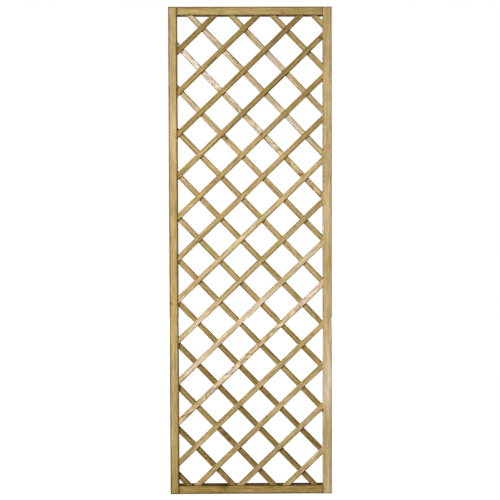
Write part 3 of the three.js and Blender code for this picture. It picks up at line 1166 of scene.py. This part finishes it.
def staple_spots():
    """The middle of every whole crossing, on the back of the back laths, a little askew."""
    chance = random.Random(STAPLE_SEED)
    rise, fall = math.tan(FRONT_LAYER.tilt), math.tan(BACK_LAYER.tilt)
    margin = LATH_WIDTH * CROSSING_MARGIN
    depth = BACK_LATH_Y + LATH_THICKNESS + STAPLE_WIRE[1] * STAPLE_LIFT
    backs = [crossing_height(name, BACK_LAYER.tilt) for name in lath_names(BACK_LAYER)]
    spots = []
    for front_name in lath_names(FRONT_LAYER):
        front = crossing_height(front_name, FRONT_LAYER.tilt)
        for back in backs:
            x = (back - front) / (rise - fall)
            z = front + x * rise
            inside = abs(x) < OPENING_HALF - margin
            if inside and FRAME_FACE + margin < z < PANEL_HEIGHT - FRAME_FACE - margin:
                slip_x = chance.uniform(-STAPLE_SLIP, STAPLE_SLIP)
                slip_z = chance.uniform(-STAPLE_SLIP, STAPLE_SLIP)
                askew = chance.uniform(-STAPLE_ASKEW, STAPLE_ASKEW)
                place = Vector((x, depth, z)) + Vector((slip_x, 0, slip_z)) * MM
                spots.append((place, (-math.pi / 2, askew - BACK_LAYER.tilt, 0)))
    return spots


def screw_spots():
    """The flat of each screw's head, each driven to a turn of its own."""
    chance = random.Random(SCREW_SEED)
    spots = []
    for screw_name, centre, end in screw_places():
        facing = Matrix.Rotation(end * math.pi / 2, 3, "Y")
        turned = facing @ Matrix.Rotation(chance.uniform(0, SCREW_TURN), 3, "Z")
        spots.append((centre, tuple(turned.to_euler())))
    return spots


def make_staples(material):
    sizes = {
        "Crown": STAPLE_CROWN,
        "Leg": STAPLE_LEG,
        "Wire Width": STAPLE_WIRE[0],
        "Wire Thickness": STAPLE_WIRE[1],
    }
    tree = repeat_tree("staples", sizes, staple_shape)
    mesh = points_mesh("staple_points", staple_spots())
    piece = grow("lattice_staples", mesh, tree, {**sizes, "Steel": material})
    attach(piece, "root")


def make_screws(material):
    sizes = {
        "Head Radius": SCREW_HEAD_RADIUS,
        "Shank Radius": SCREW_SHANK_RADIUS,
        "Length": SCREW_LENGTH,
        "Point": SCREW_POINT,
        "Recess Reach": RECESS_REACH,
        "Recess Width": RECESS_WIDTH,
        "Recess Depth": RECESS_DEPTH,
    }
    tree = repeat_tree("screws", sizes, screw_shape)
    mesh = points_mesh("screw_points", screw_spots())
    piece = grow("corner_screws", mesh, tree, {**sizes, "Steel": material})
    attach(piece, "root")
    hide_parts(*[screw_name for screw_name, centre, end in screw_places()])


# Floor and light

FLOOR_REACH = 40
FLOOR_BRIGHTENS = (1.0, 6.0)
FLOOR_GLOWS = (0.95, 1.0)
FLOOR_SHADE = (0.12, 0.12, 0.12, 1)
WHITE = (1, 1, 1, 1)
ROOM_LIGHT = (1.0, 0.98, 0.95, 1)
ROOM_STRENGTH = 0.06

# Round lamps: where each stands, what it is aimed at, its width, its power, how wide its beam spreads
# in degrees, and whether the wood's sheen shows it
Lamp = namedtuple("Lamp", "place aim width power spread in_sheen")
LAMPS = {
    "key_light": Lamp((-2.0, -3.15, 1.3), (0, 0, 0.92), 1.2, 42.5, 110, True),
    "fill_light": Lamp((-0.2, -2.7, 0.95), (0, 0, 0.9), 1.8, 29, 180, True),
    "left_light": Lamp((-4.2, -0.5, 1.0), (0, 0, 0.9), 1.0, 84, 180, True),
    "right_light": Lamp((4.2, 0, 1.0), (0, 0, 0.9), 0.34, 66, 180, True),
    "top_light": Lamp((0, 0.38, 2.45), (0, 0.1, 1.8), 0.8, 6, 180, False),
    "back_light": Lamp((0.2, 7, 0.5), (0, 0, 0.9), 2.4, 440, 180, False),
}


def make_floor():
    """A pale floor that glows almost white, takes a faint shadow and throws no light on the panel."""
    shell = bmesh.new()
    corners = [(-1, -1), (1, -1), (1, 1), (-1, 1)]
    shell.faces.new([shell.verts.new((x * FLOOR_REACH, y * FLOOR_REACH, 0)) for x, y in corners])
    floor = new_piece("floor", mesh_of(shell))
    material, bench = new_material("pale_floor")
    place = bench.node("ShaderNodeTexCoord", {}, {}, out="Object")
    reach_out = bench.node("ShaderNodeVectorMath", {"operation": "LENGTH"}, {0: place}, out="Value")
    glow = bench.node("ShaderNodeEmission", {}, {
        "Color": WHITE,
        "Strength": bench.step(reach_out, *FLOOR_BRIGHTENS, *FLOOR_GLOWS),
    })
    matt = bench.node("ShaderNodeBsdfDiffuse", {}, {"Color": FLOOR_SHADE})
    both = bench.node("ShaderNodeAddShader", {}, {0: glow, 1: matt})
    clear = bench.node("ShaderNodeBsdfTransparent")
    under = bench.node("ShaderNodeNewGeometry", {}, {}, out="Backfacing")
    surface = bench.node("ShaderNodeMixShader", {}, {0: under, 1: both, 2: clear})
    bench.node("ShaderNodeOutputMaterial", {}, {"Surface": surface})
    floor.data.materials.append(material)
    floor.visible_diffuse = False
    floor.visible_glossy = False


def make_backdrop():
    """A white room that gives only a weak even light."""
    world = bpy.data.worlds.new("studio")
    bpy.context.scene.world = world
    world.use_nodes = True
    bench = Bench(world.node_tree)
    seen = bench.node("ShaderNodeLightPath", {}, {}, out="Is Camera Ray")
    white = bench.node("ShaderNodeBackground", {}, {"Color": WHITE, "Strength": 1.0})
    weak = bench.node("ShaderNodeBackground", {}, {"Color": ROOM_LIGHT, "Strength": ROOM_STRENGTH})
    both = bench.node("ShaderNodeMixShader", {}, {0: seen, 1: weak, 2: white})
    bench.node("ShaderNodeOutputWorld", {}, {"Surface": both})


def make_lamp(name, lamp):
    """A round lamp that the camera doesn't see."""
    data = bpy.data.lights.new(name, "AREA")
    data.shape = "DISK"
    data.size = lamp.width
    data.energy = lamp.power
    data.spread = math.radians(lamp.spread)
    light = bpy.data.objects.new(name, data)
    way = Vector(lamp.aim) - Vector(lamp.place)
    turned = way.to_track_quat("-Z", "Y").to_matrix().to_4x4()
    light.matrix_world = Matrix.Translation(lamp.place) @ turned
    light.visible_camera = False
    light.visible_glossy = lamp.in_sheen
    bpy.context.scene.collection.objects.link(light)


make_camera()
make_backdrop()
make_floor()
for name, lamp in LAMPS.items():
    make_lamp(name, lamp)
bpy.context.scene.view_settings.view_transform = "Standard"

woods = {name: softwood(name, wood) for name, wood in WOODS.items()}
for lot, (name, bar) in enumerate(FRAME_TIMBERS.items(), start=1):
    if name.endswith("stile"):
        make_stile(name, lot, woods[bar.wood])
    else:
        make_rail(name, lot, woods[bar.wood])

lath_maker = lath_tree()
for layer in (FRONT_LAYER, BACK_LAYER):
    for number, name in enumerate(lath_names(layer), start=1):
        make_lath(name, lath_maker, layer.seed + number, layer, woods["sawn_lath_softwood"])

make_staples(zinc("galvanised_staple_wire", plating=(190, 190, 184), shine=0.5, rust=0.5))
make_screws(zinc("yellow_zinc_screws", plating=(206, 186, 120), shine=0.85, rust=0.25))
